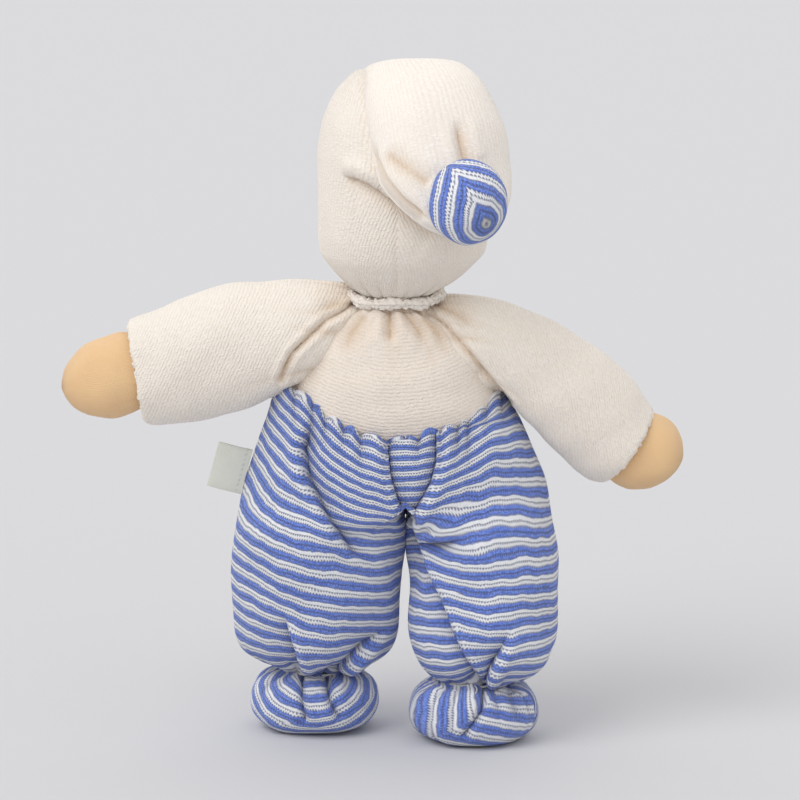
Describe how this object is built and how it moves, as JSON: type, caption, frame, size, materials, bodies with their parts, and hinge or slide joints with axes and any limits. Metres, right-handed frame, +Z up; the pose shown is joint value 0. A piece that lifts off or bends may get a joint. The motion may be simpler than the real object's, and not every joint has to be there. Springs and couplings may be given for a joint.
{
  "type": "waldorf doll",
  "caption": "Soft cloth doll in a cream pointed cap and striped knit trousers, standing with its arms out, with a gathered neck, hips and ankles that bend.",
  "frame": {"origin": "middle of the outline box, on the floor under the feet", "axes": "+Z up, the face looks along -Y, the doll's left is +X"},
  "size_m": [0.267, 0.111, 0.2991],
  "materials": {
    "cream_terry": "cream cotton terry with fine ribs",
    "striped_knit": "blue and white striped knit",
    "skin_jersey": "fine peach jersey",
    "wool": "carded wool filling",
    "thread": "cotton thread",
    "eye_thread": "dark blue embroidery",
    "mouth_thread": "red embroidery",
    "label_tape": "off-white woven tape, bare"
  },
  "bodies": {
    "trunk": {"torso_cover": "cream_terry", "body_stuffing": "wool", "trouser_seat": "striped_knit", "waist_thread": "thread"},
    "neck": {"neck_stuffing": "wool", "neck_thread": "thread"},
    "head": {"hood": "cream_terry", "head_skin": "skin_jersey", "head_stuffing": "wool", "left_eye": "eye_thread", "right_eye": "eye_thread", "mouth": "mouth_thread"},
    "tail": {"cap_tail": "cream_terry", "cap_tip": "striped_knit", "cap_tip_stuffing": "wool"},
    "left_arm": {"left_sleeve": "cream_terry", "left_arm_stuffing": "wool"},
    "left_palm": {"left_hand": "skin_jersey", "left_hand_stuffing": "wool", "left_wrist_thread": "thread"},
    "left_leg": {"left_trouser_leg": "striped_knit", "left_leg_stuffing": "wool"},
    "left_sole": {"left_foot": "striped_knit", "left_foot_stuffing": "wool", "left_ankle_thread": "thread"},
    "right_arm": {"right_sleeve": "cream_terry", "right_arm_stuffing": "wool"},
    "right_palm": {"right_hand": "skin_jersey", "right_hand_stuffing": "wool", "right_wrist_thread": "thread"},
    "right_leg": {"right_trouser_leg": "striped_knit", "right_leg_stuffing": "wool"},
    "right_sole": {"right_foot": "striped_knit", "right_foot_stuffing": "wool", "right_ankle_thread": "thread"},
    "label": {"care_label": "label_tape"}
  },
  "joints": [
    {"name": "neck_nod", "type": "hinge", "parent": "trunk", "child": "neck", "pos_m": [-0.01, -0.0186, 0.1915], "axis": [1, 0, 0], "range_deg": [-20, 20]},
    {"name": "head_turn", "type": "hinge", "parent": "neck", "child": "head", "pos_m": [-0.01, -0.0186, 0.1915], "axis": [0, 0, 1], "range_deg": [-45, 45]},
    {"name": "cap_tail_lift", "type": "hinge", "parent": "head", "child": "tail", "pos_m": [-0.0137, -0.0186, 0.2932], "axis": [1, 0, 0], "range_deg": [0, 120]},
    {"name": "left_shoulder", "type": "hinge", "parent": "trunk", "child": "left_arm", "pos_m": [0.027, -0.0186, 0.1745], "axis": [0, 1, 0], "range_deg": [-50, 6.5]},
    {"name": "right_shoulder", "type": "hinge", "parent": "trunk", "child": "right_arm", "pos_m": [-0.047, -0.0186, 0.1745], "axis": [0, -1, 0], "range_deg": [-76, 1.5]},
    {"name": "left_wrist", "type": "hinge", "parent": "left_arm", "child": "left_palm", "pos_m": [0.09406, -0.0186, 0.16207], "axis": [0, 1, 0], "range_deg": [-12, 12]},
    {"name": "right_wrist", "type": "hinge", "parent": "right_arm", "child": "right_palm", "pos_m": [-0.10568, -0.0186, 0.13108], "axis": [0, -1, 0], "range_deg": [-10, 10]},
    {"name": "left_hip", "type": "hinge", "parent": "trunk", "child": "left_leg", "pos_m": [0.0228, -0.0186, 0.098], "axis": [-1, 0, 0], "range_deg": [-23, 77]},
    {"name": "right_hip", "type": "hinge", "parent": "trunk", "child": "right_leg", "pos_m": [-0.0484, -0.0186, 0.098], "axis": [-1, 0, 0], "range_deg": [-7, 93]},
    {"name": "left_ankle", "type": "hinge", "parent": "left_leg", "child": "left_sole", "pos_m": [0.025, -0.02858, 0.027], "axis": [1, 0, 0], "range_deg": [-8, 8]},
    {"name": "right_ankle", "type": "hinge", "parent": "right_leg", "child": "right_sole", "pos_m": [-0.044, -0.00862, 0.027], "axis": [1, 0, 0], "range_deg": [-8, 8]},
    {"name": "label_flap", "type": "hinge", "parent": "left_leg", "child": "label", "pos_m": [0.05399, -0.01603, 0.11632], "axis": [-0.2588, 0.1344, 0.9565], "range_deg": [-60, 60]}
  ]
}
